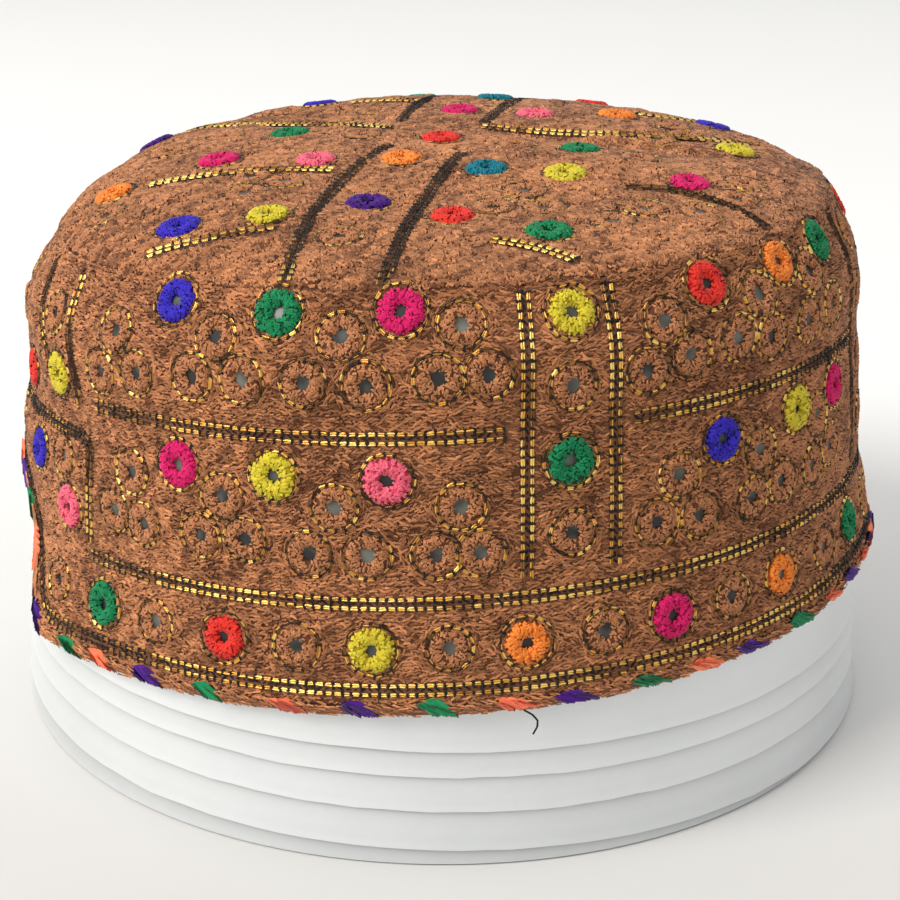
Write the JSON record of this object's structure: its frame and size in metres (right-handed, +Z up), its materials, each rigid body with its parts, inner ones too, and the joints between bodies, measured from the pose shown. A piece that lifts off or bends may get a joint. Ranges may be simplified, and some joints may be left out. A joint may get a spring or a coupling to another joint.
{
  "type": "balochi cap on a coiled plastic display stand",
  "caption": "Embroidered mirror-work cap with a soft crown, flared side band and arched forehead notch, held in shape by a coiled plastic strip.",
  "frame": {"origin": "middle of the bottom of the whole object, on the surface it stands on", "axes": "+Z up, the forehead notch faces -Y, +X is to the wearer's left"},
  "size_m": [0.1984, 0.2008, 0.1282],
  "materials": {
    "brown_cloth": "matte, covered in short thread stitches",
    "gold_cord": "metallic gold thread",
    "black_thread": "matte thread",
    "blue_thread": "matte thread",
    "green_thread": "matte thread",
    "magenta_thread": "matte thread",
    "yellow_thread": "matte thread",
    "red_thread": "matte thread",
    "orange_thread": "matte thread",
    "pink_thread": "matte thread",
    "purple_thread": "matte thread",
    "teal_thread": "matte thread",
    "mirror_glass": "small dull mirror",
    "stand_plastic": "slightly translucent white plastic"
  },
  "bodies": {
    "root": {"cord_column_back_right_a": "gold_cord", "cord_column_back_right_b": "gold_cord", "cord_column_front_left_a": "gold_cord", "cord_column_front_left_b": "gold_cord", "cord_column_front_right_a": "gold_cord", "cord_column_front_right_b": "gold_cord", "cord_column_side_left_a": "gold_cord", "cord_column_side_left_b": "gold_cord", "cord_column_side_right_a": "gold_cord", "cord_column_side_right_b": "gold_cord", "cord_crown_cross_back_far": "gold_cord", "cord_crown_cross_back_near": "gold_cord", "cord_crown_cross_front_far": "gold_cord", "cord_crown_cross_front_near": "gold_cord", "cord_crown_left_far": "gold_cord", "cord_crown_left_near": "gold_cord", "cord_crown_right_far": "gold_cord", "cord_crown_right_near": "gold_cord", "cord_notch_frame": "gold_cord", "cord_panel_back_left": "gold_cord", "cord_panel_back_right": "gold_cord", "cord_panel_side_left": "gold_cord", "cord_panel_side_right": "gold_cord", "cord_rim": "gold_cord", "cord_upper": "gold_cord", "crown": "brown_cloth", "mirror_ring_crown_middle": "red_thread", "mirror_ring_middle_1_left": "orange_thread", "mirror_ring_middle_1_right": "magenta_thread", "mirror_ring_middle_2_left": "green_thread", "mirror_ring_middle_2_right": "yellow_thread", "mirror_ring_middle_3_left": "red_thread", "mirror_ring_middle_3_right": "pink_thread", "mirror_ring_middle_4_left": "magenta_thread", "mirror_ring_middle_4_right": "green_thread", "mirror_ring_middle_5_left": "yellow_thread", "mirror_ring_middle_5_right": "blue_thread", "mirror_ring_middle_6_left": "pink_thread", "mirror_ring_middle_6_right": "yellow_thread", "mirror_ring_middle_7_left": "blue_thread", "mirror_ring_middle_7_right": "magenta_thread", "mirror_ring_top_1_left": "magenta_thread", "mirror_ring_top_1_right": "blue_thread", "mirror_ring_top_2_left": "yellow_thread", "mirror_ring_top_2_right": "green_thread", "mirror_ring_top_3_left": "blue_thread", "mirror_ring_top_3_right": "magenta_thread", "mirror_ring_top_4_left": "green_thread", "mirror_ring_top_4_right": "yellow_thread", "mirror_ring_top_5_left": "orange_thread", "mirror_ring_top_5_right": "red_thread", "mirror_ring_top_6_left": "purple_thread", "mirror_ring_top_6_right": "orange_thread", "mirror_ring_top_7_left": "red_thread", "mirror_ring_top_7_right": "green_thread", "rim_binding": "brown_cloth", "side_band": "brown_cloth", "stand_coil": "stand_plastic"}
  },
  "joints": []
}
